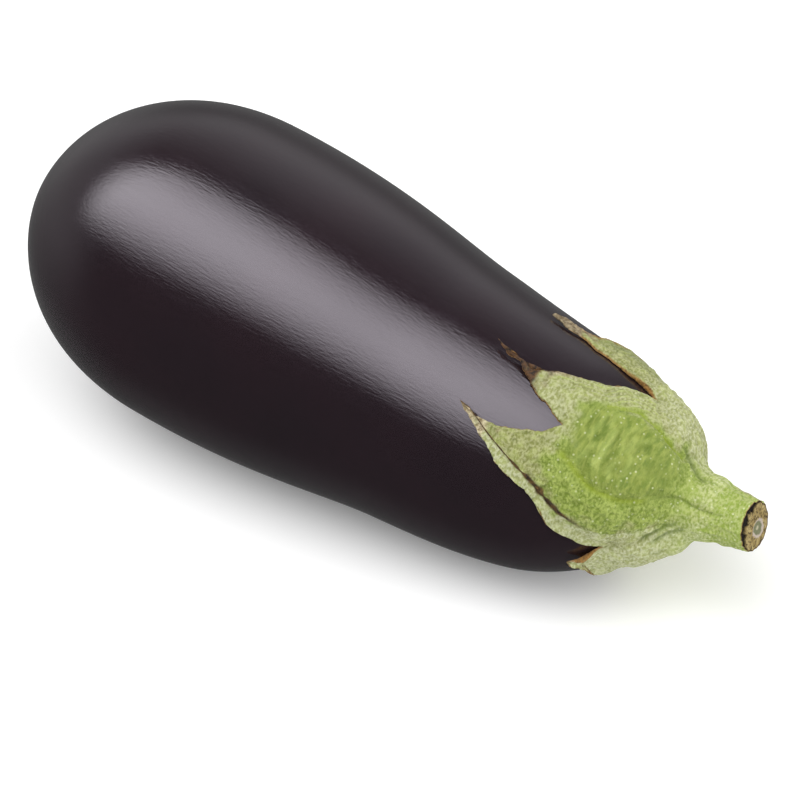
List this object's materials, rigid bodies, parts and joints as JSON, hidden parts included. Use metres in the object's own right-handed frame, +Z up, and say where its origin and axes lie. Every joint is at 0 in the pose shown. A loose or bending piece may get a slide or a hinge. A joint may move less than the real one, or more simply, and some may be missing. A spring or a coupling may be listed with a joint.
{
  "type": "eggplant",
  "caption": "Dark glossy pear-shaped fruit lying on its side, its neck capped by a green lobed calyx with a short cut stem.",
  "frame": {"origin": "middle of the object's bounding box seen from above, on the plane that it rests on", "axes": "+X from the blossom end toward the cut stem, +Z up, +Y to the left of +X seen from above"},
  "size_m": [0.2112, 0.0848, 0.0836],
  "materials": {
    "fruit": "waxy, glossy",
    "calyx": "matte, downy",
    "stem": "matte, downy"
  },
  "bodies": {
    "root": {"fruit": "fruit", "calyx": "calyx", "stem": "stem"}
  },
  "joints": []
}
